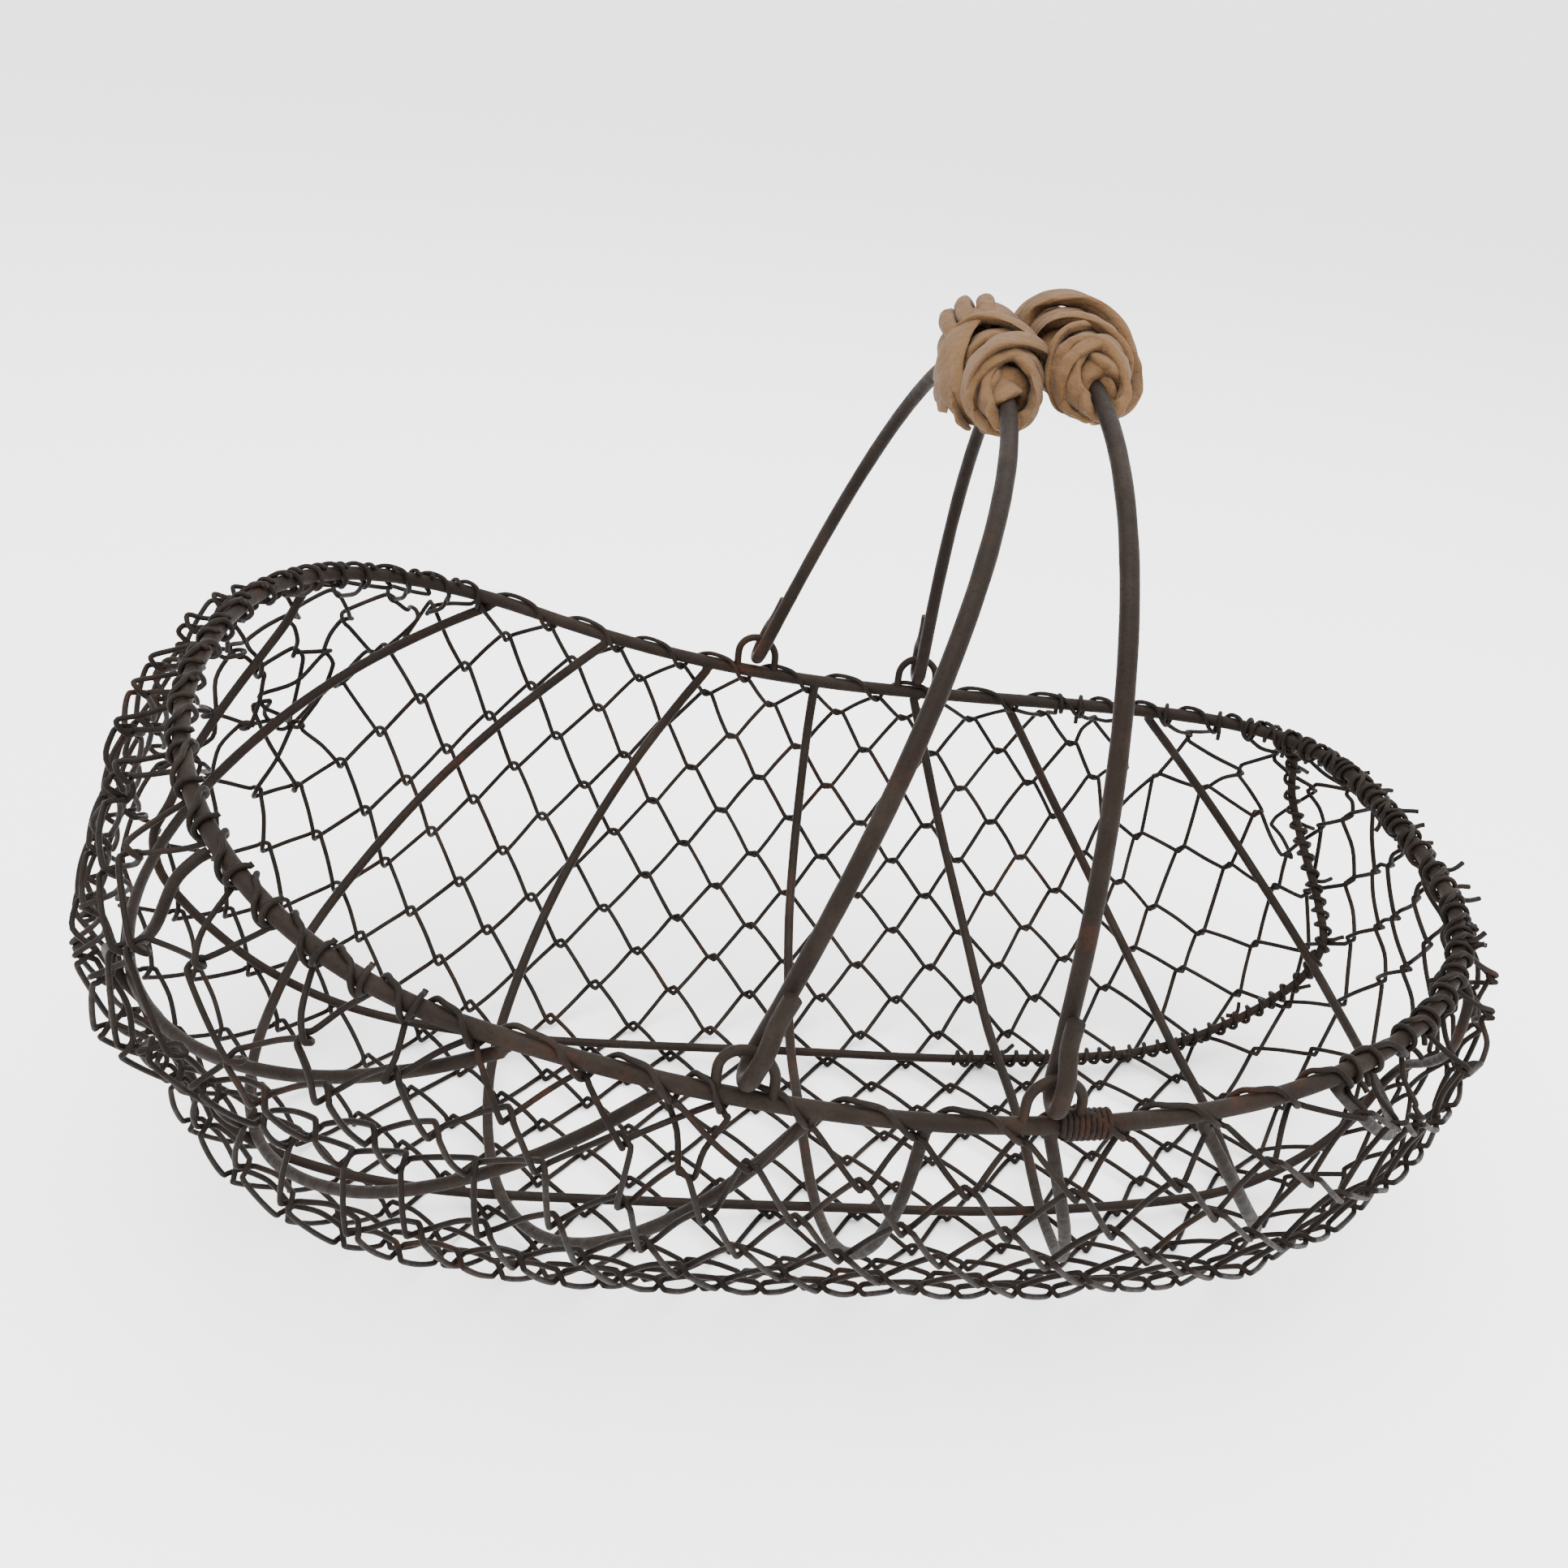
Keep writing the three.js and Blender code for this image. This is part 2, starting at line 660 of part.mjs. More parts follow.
// A strand's centre line: it passes each knot a little, in its own layer.
function strandPoints(turns, number) {
  const layer = number % 2 === 0 ? NET_LAYER : -NET_LAYER;
  const points = [];
  const outward = [];
  turns.forEach((knot, k) => {
    const normal = knot.normal.clone();
    const before = turns[Math.max(k - 1, 0)].point;
    const after = turns[Math.min(k + 1, turns.length - 1)].point;
    const past = knot.point.clone().multiplyScalar(2).sub(before).sub(after);
    const onEdge = knot.rimRow || k === 0 || k === turns.length - 1;
    const point = knot.point.clone().addScaledVector(normal, knot.offset);
    if (!onEdge) point.addScaledVector(past.normalize(), HOOK_OVERLAP);
    point.z = grounded(point.z);
    if (point.z === NET_FLOOR) normal.copy(UP).negate();
    points.push(point.addScaledVector(normal, layer));
    outward.push(normal);
  });
  return { points, outward };
}

function net() {
  const flat = new THREE.Shape([
    new THREE.Vector2(-WIRE / 2, -WIRE_HALF_WIDTH),
    new THREE.Vector2(WIRE / 2, -WIRE_HALF_WIDTH),
    new THREE.Vector2(WIRE / 2, WIRE_HALF_WIDTH),
    new THREE.Vector2(-WIRE / 2, WIRE_HALF_WIDTH),
  ]);
  const knots = firstKnots();
  prune(knots);
  prune(knots);
  settle(knots);
  const strands = [];
  for (let number = 1; number <= 2 * STRANDS_PER_SIDE; number += 1) {
    strands.push(strandTurns(knots, number));
  }
  gatherEnds(strands, false);
  gatherEnds(strands, true);
  strands.forEach((turns, k) => {
    const { points, outward } = strandPoints(turns, k + 1);
    const label = String(k + 1).padStart(2, '0');
    add(`net_strand_${label}`, sweep(flat, points, outward), WIRE_IRON);
  });
}

rimRod();
ribRods();
stringerRods();
for (const [name, bail] of Object.entries(BAILS)) {
  eye(`eye_${name}_near`, bail.near, -1);
  eye(`eye_${name}_far`, bail.far, 1);
  bailAndGrip(name, bail);
}
net();

export default group;
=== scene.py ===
"""Looks of a rod and chain-link wire basket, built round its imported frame."""
import math

import bmesh
import bpy
from mathutils import Matrix, Vector, noise


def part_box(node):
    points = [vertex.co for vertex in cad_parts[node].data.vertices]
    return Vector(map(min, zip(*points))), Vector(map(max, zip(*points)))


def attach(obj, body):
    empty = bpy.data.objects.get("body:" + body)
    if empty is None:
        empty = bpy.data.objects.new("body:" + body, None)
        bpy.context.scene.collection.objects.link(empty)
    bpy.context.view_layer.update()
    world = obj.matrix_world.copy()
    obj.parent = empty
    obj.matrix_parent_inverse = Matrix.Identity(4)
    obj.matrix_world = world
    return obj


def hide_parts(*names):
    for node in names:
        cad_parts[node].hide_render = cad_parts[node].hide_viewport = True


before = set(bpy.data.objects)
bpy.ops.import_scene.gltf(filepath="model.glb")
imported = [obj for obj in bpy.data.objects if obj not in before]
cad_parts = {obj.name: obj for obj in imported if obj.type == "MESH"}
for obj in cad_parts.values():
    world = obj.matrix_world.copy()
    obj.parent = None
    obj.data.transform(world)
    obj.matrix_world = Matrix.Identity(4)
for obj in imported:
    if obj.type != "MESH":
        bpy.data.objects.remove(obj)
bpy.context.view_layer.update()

bl_info = {
    "name": "Wire basket",
    "version": (1, 0, 0),
    "blender": (4, 5, 0),
    "location": "View3D > Sidebar > Basket",
    "description": "Builds a rod and chain-link wire basket with bound bail handles",
    "category": "Add Mesh",
}

UP = Vector((0, 0, 1))
MERGE = 1e-6
COPLANAR = (5e-4, 5e-3, 2e-2)
STRANDS = 28
RIBS = 7
NET_LAYER = 0.002
KNOT_OVERRUN = 0.0016
RIM_ROW_REACH = 0.0125
RIM_HOOK_OUT = 0.0012
RIM_HOOK_DROP = 0.0058
TURN = 2 * math.pi


# ---------------------------------------------------------------- settings


def length(name, description, default):
    """A length that a user may change."""
    return bpy.props.FloatProperty(
        name=name, description=description, default=default, min=0.0, subtype="DISTANCE", unit="LENGTH", precision=5
    )


def colour(name, description, default):
    """A colour that a user may change."""
    return bpy.props.FloatVectorProperty(
        name=name, description=description, default=default, size=3, min=0.0, max=1.0, subtype="COLOR"
    )


class BasketSizes(bpy.types.PropertyGroup):
    """Thicknesses and widths of what the basket is made from."""

    rim: length("Rim rod", "Radius of the rim's rod", 0.003)
    rib: length("Rib rod", "Radius of a rib's rod", 0.00225)
    stringer: length("Stringer rod", "Radius of a stringer's rod", 0.002)
    eye: length("Eye rod", "Radius of an eye's rod", 0.00175)
    bail: length("Bail rod", "Radius of a bail's rod", 0.003)
    wire: length("Net wire", "Radius of the net's wire", 0.00105)
    depth: length("Net depth", "Half the thickness of the net between wire centres", 0.0021)
    hook: length("Knuckle reach", "How far a wire passes its neighbour at a knuckle", 0.0006)
    knuckle: length("Knuckle width", "Half the width of a knuckle", 0.0024)
    grip: length("Grip", "Radius of a bound grip at its middle", 0.0135)
    strip: length("Strip", "Width of the binding strip", 0.014)


class BasketColours(bpy.types.PropertyGroup):
    """Colours of the finishes."""

    iron: colour("Iron", "Patina of the rods", (0.0075, 0.0046, 0.0031))
    iron_pale: colour("Worn iron", "Paler bloom on the rods", (0.019, 0.0128, 0.0092))
    rust: colour("Rust", "Rust in the rods' pits", (0.03, 0.01, 0.0042))
    wire: colour("Wire", "Patina of the net", (0.0052, 0.0033, 0.0023))
    strip: colour("Strip", "Binding strip", (0.082, 0.0435, 0.018))
    # The strip fold colour is painted shade, laid in the strip's folds.
    strip_fold_shade: colour("Strip folds", "Painted shade in the strip's folds", (0.022, 0.0085, 0.0028))
    floor: colour("Floor", "The floor", (0.97, 0.97, 0.97))


# ---------------------------------------------------------------- paths


def walk(first, sides):
    """The rings of corners reached from the first one, or none where a ring has another number of corners."""
    ring, seen, found = set(first), set(first), []
    while ring:
        if len(ring) != sides:
            return []
        found.append([vert.co.copy() for vert in sorted(ring, key=lambda vert: vert.index)])
        ring = {edge.other_vert(vert) for vert in ring for edge in vert.link_edges} - seen
        seen |= ring
    return found


def rings(node, sides):
    """The corner rings of a swept CAD rod, in order from one cut end to the other."""
    mesh = bmesh.new()
    mesh.from_mesh(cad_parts[node].data)
    bmesh.ops.remove_doubles(mesh, verts=mesh.verts, dist=MERGE)
    corners = {vert.co.to_tuple(6): vert for vert in mesh.verts}
    for angle in COPLANAR:
        flat = mesh.copy()
        bmesh.ops.dissolve_limit(flat, angle_limit=angle, verts=flat.verts, edges=flat.edges)
        ends = sorted((face for face in flat.faces if len(face.verts) == sides), key=lambda face: face.calc_area())
        for end in ends:
            found = walk([corners[vert.co.to_tuple(6)] for vert in end.verts], sides)
            if len(found) * sides == len(mesh.verts):
                flat.free()
                mesh.free()
                return found
        flat.free()
    raise RuntimeError(f"{node} has no cut end with {sides} corners")


def centre(points):
    return sum(points, Vector()) / len(points)


def centre_line(node, sides):
    """A CAD rod's centre line, running towards +X or else +Y."""
    line = [centre(ring) for ring in rings(node, sides)]
    way = line[-1] - line[0]
    if (way.x if abs(way.x) > abs(way.y) else way.y) < 0:
        line.reverse()
    return line


def spline(points, steps, closed=False):
    """A smooth curve through the points, with this many steps from one to the next."""
    count = len(points)
    spans = count if closed else count - 1
    curve = []
    for k in range(spans):
        if closed:
            a, b, c, d = (points[(k + j) % count] for j in (-1, 0, 1, 2))
        else:
            b, c = points[k], points[k + 1]
            a = points[k - 1] if k else b * 2 - c
            d = points[k + 2] if k + 2 < count else c * 2 - b
        for step in range(steps):
            t = step / steps
            curve.append(
                0.5 * (b * 2 + (c - a) * t + (a * 2 - b * 5 + c * 4 - d) * t**2 + (b * 3 - a - c * 3 + d) * t**3)
            )
    if not closed:
        curve.append(points[-1].copy())
    return curve


def evenly(points, gap):
    """The same line with its points a given distance apart."""
    lengths = [0.0]
    for a, b in zip(points, points[1:]):
        lengths.append(lengths[-1] + (b - a).length)
    count = max(2, round(lengths[-1] / gap))
    line, k = [], 0
    for step in range(count + 1):
        reach = lengths[-1] * step / count
        while k < len(points) - 2 and lengths[k + 1] < reach:
            k += 1
        share = (reach - lengths[k]) / max(lengths[k + 1] - lengths[k], MERGE)
        line.append(points[k].lerp(points[k + 1], share))
    return line


def wander(place, size, amount):
    """A small smooth push that depends only on where it is."""
    return noise.noise_vector(place / size) * amount


def roughen(place, size=0.011, amount=0.035):
    """A factor near one, so that a rod's thickness isn't quite even."""
    return 1 + amount * noise.noise(place / size)


# ---------------------------------------------------------------- making


def alone():
    bpy.ops.object.select_all(action="DESELECT")


def draw(name, lines, sides=12, closed=False):
    """Round rods along lines. Each line is a list of (place, radius)."""
    alone()
    bpy.ops.curve.primitive_nurbs_path_add(location=(0, 0, 0))
    piece = bpy.context.object
    piece.name = piece.data.name = name
    curve = piece.data
    curve.splines.clear()
    for line in lines:
        part = curve.splines.new("POLY")
        part.points.add(len(line) - 1)
        for point, (place, radius) in zip(part.points, line):
            point.co = (*place, 1)
            point.radius = radius
        part.use_cyclic_u = closed
    curve.dimensions = "3D"
    curve.bevel_depth = 1
    curve.bevel_resolution = (sides - 4) // 2
    curve.use_fill_caps = not closed
    bpy.ops.object.convert(target="MESH")
    bpy.ops.object.shade_smooth_by_angle(angle=math.radians(50))
    return piece


def finish_piece(piece, body, slot, material, *nodes):
    """Gives a piece its finish and its body, and hides the CAD nodes it stands for."""
    piece.data.materials.clear()
    piece.data.materials.append(material)
    if nodes:
        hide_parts(*nodes)
    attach(piece, body)
    return piece


# ---------------------------------------------------------------- finishes


class Signal:
    """A node's output, on which arithmetic adds Math nodes."""

    def __init__(self, recipe, socket):
        self.recipe = recipe
        self.socket = socket

    def join(self, operation, first, second):
        return self.recipe.node("ShaderNodeMath", {"operation": operation}, {0: first, 1: second})

    def __add__(self, other):
        return self.join("ADD", self, other)

    def __sub__(self, other):
        return self.join("SUBTRACT", self, other)

    def __rsub__(self, other):
        return self.join("SUBTRACT", other, self)

    def __mul__(self, other):
        return self.join("MULTIPLY", self, other)

    def __pow__(self, other):
        return self.join("POWER", self, other)

    __radd__ = __add__
    __rmul__ = __mul__


class Recipe:
    """A material under construction."""

    def __init__(self, name):
        self.material = bpy.data.materials.new(name)
        self.material.use_nodes = True
        self.tree = self.material.node_tree
        self.shader = self.tree.nodes["Principled BSDF"]

    def node(self, kind, settings, inputs, output=0):
        """Adds a node, sets it up, then feeds its sockets with values or signals."""
        made = self.tree.nodes.new(kind)
        for key, value in settings.items():
            if key == "stops":
                ramp = made.color_ramp
                while len(ramp.elements) < len(value):
                    ramp.elements.new(0.5)
                for element, (place, shade) in zip(ramp.elements, value):
                    element.position = place
                    element.color = (*shade, 1) if len(shade) == 3 else shade
            else:
                setattr(made, key, value)
        for key, value in inputs.items():
            self.feed(made.inputs[key], value)
        return Signal(self, made.outputs[output])

    def feed(self, socket, value):
        if isinstance(value, Signal):
            self.tree.links.new(value.socket, socket)
        else:
            socket.default_value = value

    def place(self):
        return self.node("ShaderNodeTexCoord", {}, {}, "Object")

    def noise(self, place, scale, detail=4.0, rough=0.55):
        settings = {"noise_dimensions": "3D"}
        sockets = {"Vector": place, "Scale": scale, "Detail": detail, "Roughness": rough}
        return self.node("ShaderNodeTexNoise", settings, sockets)

    def ramp(self, signal, low, high):
        """0 below low, 1 above high, and smooth between."""
        settings = {"interpolation_type": "SMOOTHSTEP"}
        return self.node("ShaderNodeMapRange", settings, {0: signal, 1: low, 2: high, 3: 0.0, 4: 1.0})

    def mix(self, share, first, second):
        """Mixes two colours."""
        sockets = {0: share, 6: first, 7: second}
        return self.node("ShaderNodeMix", {"data_type": "RGBA"}, sockets, 2)

    def bump(self, height, strength, distance, normal=None):
        sockets = {"Height": height, "Strength": strength, "Distance": distance}
        if normal:
            sockets["Normal"] = normal
        return self.node("ShaderNodeBump", {}, sockets)

    def plate(self, **sockets):
        """Feeds the shader's own sockets."""
        for key, value in sockets.items():
            self.feed(self.shader.inputs[key.replace("_", " ")], value)
        return self.material


def rgba(shade):
    return (*shade, 1)


def iron(name, base, pale, rust, speckle):
    """Old iron: a dark matte patina, with a paler bloom and rust in the pits."""
    made = bpy.data.materials.get(name)
    if made:
        return made
    recipe = Recipe(name)
    place = recipe.place()
    bloom = recipe.ramp(recipe.noise(place, 38.0, 5.0, 0.6), 0.42, 0.78)
    mottle = recipe.ramp(recipe.noise(place, 210.0, 4.0, 0.6), 0.35, 0.75)
    pits = recipe.ramp(recipe.noise(place, 950.0, 3.0, 0.6), 0.5, 0.78)
    stain = recipe.ramp(recipe.noise(place, 26.0, 3.0, 0.5), 0.56, 0.74) * mottle
    shade = recipe.mix(bloom * 0.55 + mottle * 0.2, rgba(base), rgba(pale))
    shade = recipe.mix(stain * 0.8, shade, rgba(rust))
    shade = recipe.mix(pits * speckle, shade, rgba([part * 0.35 for part in base]))
    grain = recipe.noise(place, 1500.0, 4.0, 0.65)
    dents = recipe.noise(place, 170.0, 3.0, 0.5)
    normal = recipe.bump(dents, 0.5, 0.0006)
    normal = recipe.bump(grain + pits * -0.8, 0.45, 0.00016, normal)
    return recipe.plate(
        Base_Color=shade,
        Roughness=mottle * 0.18 + pits * 0.1 + 0.56,
        Metallic=0.2 - bloom * 0.1,
        Normal=normal,
        Specular_IOR_Level=0.1,
    )


def rod_iron():
    tints = bpy.context.scene.basket_colours
    return iron("rod_iron", tints.iron, tints.iron_pale, tints.rust, 0.5)


def wire_iron():
    tints = bpy.context.scene.basket_colours
    return iron("wire_iron", tints.wire, tints.iron_pale, tints.rust, 0.6)


def fibre():
    """Crinkled fibre strip: streaks along its length, with painted shade in its folds."""
    made = bpy.data.materials.get("fibre_strip")
    if made:
        return made
    tints = bpy.context.scene.basket_colours
    recipe = Recipe("fibre_strip")
    along = recipe.node("ShaderNodeUVMap", {"uv_map": "strip"}, {})
    place = recipe.place()
    streak_place = recipe.node("ShaderNodeMapping", {}, {"Vector": along, "Scale": (1.0, 0.05, 1.0)})
    streaks = recipe.noise(streak_place, 1900.0, 4.0, 0.6)
    broad = recipe.noise(streak_place, 420.0, 3.0, 0.55)
    cloud = recipe.noise(place, 60.0, 3.0, 0.55)
    folds = recipe.noise(place, 260.0, 4.0, 0.6)
    shade = recipe.mix(recipe.ramp(streaks, 0.3, 0.8) * 0.35 + recipe.ramp(broad, 0.4, 0.75) * 0.3,
                       rgba(tints.strip), rgba([part * 0.66 for part in tints.strip]))
    shade = recipe.mix(recipe.ramp(cloud, 0.35, 0.8) * 0.35, shade, rgba([part * 1.18 for part in tints.strip]))
    # Painted shade: the strip is darkened in its folds, where the fold noise is high.
    shade = recipe.mix(recipe.ramp(folds, 0.56, 0.8) * 0.55, shade, rgba(tints.strip_fold_shade))
    normal = recipe.bump(folds, 0.8, 0.0016)
    normal = recipe.bump(broad, 0.7, 0.0008, normal)
    normal = recipe.bump(streaks, 0.6, 0.0004, normal)
    return recipe.plate(
        Base_Color=shade,
        Roughness=0.78 + streaks * 0.15,
        Normal=normal,
        Sheen_Weight=0.04,
        Specular_IOR_Level=0.12,
    )


# ---------------------------------------------------------------- rim and frame rods


RIM_SIDES = 8
ROD_SIDES = 6
NET_SIDES = 4
WRAP_STEPS = 10
STRINGER_REACH = 0.012
LACING_GAP = 0.014
LACING_DIP = 0.0062
CUT_ENDS = 22
GRIP_OVERHANG = 0.004
GRIP_ROOM = 0.0128
BAND_SIDES = 14
BAND_STEPS = 6


class Rim:
    """The rim's closed centre line, with directions to measure from."""

    def __init__(self):
        rough = centre_line("rim_hoop", RIM_SIDES)
        rough[0] = (rough[0] + rough[-1]) / 2
        self.line = spline(rough[:-1], 8, closed=True)
        self.middle = centre(self.line)
        self.gap = (self.line[1] - self.line[0]).length
        flat = [(self.line[k] - self.line[k - 1]).to_2d() for k in range(len(self.line))]
        self.turn = 1 if sum(a.x * b.y - a.y * b.x for a, b in zip(flat, flat[1:])) > 0 else -1

    def nearest(self, place):
        return min(range(len(self.line)), key=lambda k: (self.line[k] - place).length_squared)

    def at(self, spot):
        """Place, way along, way out and way up at a fractional spot on the line."""
        count = len(self.line)
        k = math.floor(spot)
        a, b = self.line[k % count], self.line[(k + 1) % count]
        along = (self.line[(k + 2) % count] - self.line[(k - 1) % count]).normalized()
        out = along.cross(UP).normalized() * self.turn
        return a.lerp(b, spot - k), along, out, out.cross(along).normalized() * self.turn


RIM = Rim()


def ring_at(spot, angle, reach):
    """A place round the rim: angle 0 is outside and a quarter turn is on top."""
    place, along, out, up = RIM.at(spot)
    return place + out * (math.cos(angle) * reach) + up * (math.sin(angle) * reach)


def weld_end(line, radius, sink=0.0012):
    """Carries a rod's end on to the rim it is welded to, with a swelling at the weld."""
    tip = line[-1]
    seat = RIM.line[RIM.nearest(tip)]
    way = (seat - tip).normalized()
    reach = (seat - tip).length
    return [
        (tip + way * (reach * 0.3), radius * 1.12),
        (tip + way * (reach * 0.55), radius * 1.34),
        (tip + way * (reach * 0.75 + sink), radius * 1.3),
    ]


class BASKET_OT_rim(bpy.types.Operator):
    """Builds the rim's rod as one closed hoop"""

    bl_idname = "basket.rim"
    bl_label = "Rim"

    def execute(self, context):
        radius = context.scene.basket_sizes.rim
        line = [(place, radius * roughen(place)) for place in RIM.line]
        piece = draw("rim", [line], 16, closed=True)
        finish_piece(piece, "basket", "iron_rod", rod_iron(), "rim_hoop")
        return {"FINISHED"}


class BASKET_OT_ribs(bpy.types.Operator):
    """Builds the ribs, each welded under the rim at both ends"""

    bl_idname = "basket.ribs"
    bl_label = "Ribs"

    def execute(self, context):
        radius = context.scene.basket_sizes.rib
        for number in range(1, RIBS + 1):
            node = f"rib_{number}"
            smooth = spline(centre_line(node, ROD_SIDES), 5)
            line = [(p + wander(p, 0.06, 0.0006), radius * roughen(p)) for p in smooth]
            line = weld_end(smooth[::-1], radius)[::-1] + line + weld_end(smooth, radius)
            piece = draw(f"{node}_rod", [line], 12)
            finish_piece(piece, "basket", "iron_rod", rod_iron(), node)
        return {"FINISHED"}


def stringer_line(node):
    """A stringer's line, carried on at both ends until it lies against the rim."""
    line = centre_line(node, ROD_SIDES)
    for end in (0, -1):
        tip = line[end]
        way = (tip - line[end * 2 + (1 if end == 0 else 0)]).normalized()
        ahead = tip + way * STRINGER_REACH
        seat, along, out, up = RIM.at(RIM.nearest(ahead))
        seat = seat + out * 0.002 - up * 0.0036
        middle = tip.lerp(seat, 0.5) + way * ((seat - tip).length * 0.18)
        if end == 0:
            line = [seat, middle] + line
        else:
            line = line + [middle, seat]
    return spline(line, 5)


class BASKET_OT_stringers(bpy.types.Operator):
    """Builds the two long rods that cross under the ribs"""

    bl_idname = "basket.stringers"
    bl_label = "Stringers"

    def execute(self, context):
        radius = context.scene.basket_sizes.stringer
        for node in ("stringer_far", "stringer_near"):
            smooth = stringer_line(node)
            line = [(p, radius * roughen(p)) for p in smooth]
            piece = draw(f"{node}_rod", [line], 12)
            finish_piece(piece, "basket", "iron_rod", rod_iron(), node)
        return {"FINISHED"}


class BASKET_OT_eyes(bpy.types.Operator):
    """Builds the horseshoe eyes that stand on the rim and hold the bails"""

    bl_idname = "basket.eyes"
    bl_label = "Eyes"

    def execute(self, context):
        radius = context.scene.basket_sizes.eye
        for node in ("eye_left_near", "eye_left_far", "eye_right_near", "eye_right_far"):
            smooth = spline(centre_line(node, ROD_SIDES), 6)
            line = [(p, radius * roughen(p)) for p in smooth]
            for foot, index in ((smooth[0], 0), (smooth[-1], len(line))):
                line.insert(index, (foot - UP * 0.0012, radius * 1.18))
                line.insert(index if index == 0 else index + 1, (foot - UP * 0.0026, radius * 1.3))
            piece = draw(f"{node}_rod", [line], 12)
            finish_piece(piece, "basket", "iron_rod", rod_iron(), node)
        return {"FINISHED"}


class BASKET_OT_bails(bpy.types.Operator):
    """Builds the two bails, with their hooked and cut ends"""

    bl_idname = "basket.bails"
    bl_label = "Bails"

    def execute(self, context):
        radius = context.scene.basket_sizes.bail
        for side in ("left", "right"):
            smooth = spline(centre_line(f"bail_{side}", RIM_SIDES), 5)
            line = [(p, radius * roughen(p)) for p in smooth]
            piece = draw(f"bail_{side}_rod", [line], 16)
            finish_piece(piece, f"{side}_handle", "iron_rod", rod_iron(), f"bail_{side}")
        return {"FINISHED"}


# ---------------------------------------------------------------- net


def strand_knots(number):
    """A strand's knots: place on the net's middle surface, outward way, and which rim its turn faces."""
    corner_sets = rings(f"net_strand_{number:02d}", NET_SIDES)
    places = [centre(ring) for ring in corner_sets]
    if places[0].x > places[-1].x:
        corner_sets.reverse()
        places.reverse()
    side = 1 if number % 2 == 0 else -1
    knots = []
    count = len(places)
    for k, (place, ring) in enumerate(zip(places, corner_sets)):
        thin = min((other - ring[0] for other in ring[1:]), key=lambda gap: gap.length).normalized()
        basket_way = place - Vector((0, 0, 0.19))
        basket_way.x *= 0.5
        if thin.dot(basket_way) < 0:
            thin.negate()
        before = places[k - 1] if k else places[k]
        after = places[k + 1] if k + 1 < count else places[k]
        past = place * 2 - before - after
        past -= thin * past.dot(thin)
        if k in (0, count - 1):
            past *= 0
        far = Vector((1, 0, 0)).cross(thin)
        knots.append(
            {
                "place": place - thin * (NET_LAYER * side) - past.normalized() * KNOT_OVERRUN,
                "out": thin,
                "past": past.normalized(),
                "high": past.dot(far) > 0,
            }
        )
    for k in (0, count - 1):
        knots[k]["high"] = not knots[1 if k == 0 else count - 2]["high"]
    for knot in knots:
        spot = RIM.nearest(knot["place"])
        knot["spot"] = spot if (RIM.line[spot] - knot["place"]).length < RIM_ROW_REACH else None
        if knot["spot"] is not None:
            place, along, out, up = RIM.at(spot)
            knot["place"] = place + out * RIM_HOOK_OUT - up * RIM_HOOK_DROP
            knot["out"] = (out - up * 0.2).normalized()
    return knots


def strand_line(knots, sizes):
    """A flattened helix through the knots: outside on the way up to the far rim, inside on the way down."""
    line = []
    count = len(knots)
    for k, knot in enumerate(knots):
        place, out = knot["place"], knot["out"]
        before = knots[max(k - 1, 0)]["place"]
        after = knots[min(k + 1, count - 1)]["place"]
        along = (after - before).normalized()
        along -= out * along.dot(out)
        arriving = 1 if knot["high"] else -1
        slack = min(max((-place.x - 0.03) / 0.13, 0.0), 1.0)
        deep, hook, half = sizes.depth * (1 + 0.9 * slack), sizes.hook + 0.0013 * slack, sizes.knuckle
        inset = knot["past"] * hook
        if 0 < k < count - 1:
            line.append(place - along * half + out * (deep * 0.82 * arriving) - inset * 0.35)
            line.append(place - along * (half * 0.45) + out * (deep * 0.52 * arriving) + inset * 0.75)
            line.append(place + inset)
            line.append(place + along * (half * 0.45) - out * (deep * 0.52 * arriving) + inset * 0.75)
            line.append(place + along * half - out * (deep * 0.82 * arriving) - inset * 0.35)
        else:
            line.append(place)
        if k < count - 1:
            nxt = knots[k + 1]
            mid = (place + nxt["place"]) / 2
            push = (out + nxt["out"]).normalized() * (deep * 1.05 * -arriving)
            line.append(mid + push + wander(mid, 0.03, 0.0005))
    return line


def crumple(knots):
    """Bends the mesh out of true, more so towards the low end."""
    for knot in knots:
        if knot["spot"] is not None:
            continue
        place = knot["place"]
        wild = min(max((place.x - 0.12) / 0.15, 0.0), 1.0)
        floor = min(max((place.z - 0.006) / 0.02, 0.0), 1.0)
        push = wander(place + Vector((3, 1, 2)), 0.045, 0.0016 + 0.0075 * wild)
        push += wander(place, 0.018, 0.0004 + 0.0046 * wild)
        push.z *= floor
        knot["place"] = place + push - knot["out"] * push.dot(knot["out"]) * 0.5
    return knots


def rim_wrap(spot, number, at_low_end):
    """The wire's end, coiled round the rim and cut off with a short tail standing out."""
    sizes = bpy.context.scene.basket_sizes
    way = 1 if number % 2 else -1
    turns = 0.62 + (0.5 + 0.5 * noise.noise(Vector((number * 3.1, 0, 0)))) * at_low_end
    gap = sizes.wire * 2.4 / RIM.gap
    line = []
    for step in range(int(turns * WRAP_STEPS) + 1):
        part = step / WRAP_STEPS
        line.append(ring_at(spot + way * gap * part, -TURN / 4 + TURN * part, sizes.rim + sizes.wire * 1.15))
    tip = line[-1]
    out = (tip - ring_at(spot + way * gap * turns, 0, 0)).normalized()
    tail = (tip - line[-2]).normalized()
    reach = (0.0035 + 0.003 * abs(noise.noise(Vector((number * 1.7, 5, 0))))) * max(at_low_end, 0.25)
    line.append(tip + tail * (reach * 0.5) + out * (reach * 0.35))
    line.append(tip + tail * (reach * 0.8) + out * reach)
    return line


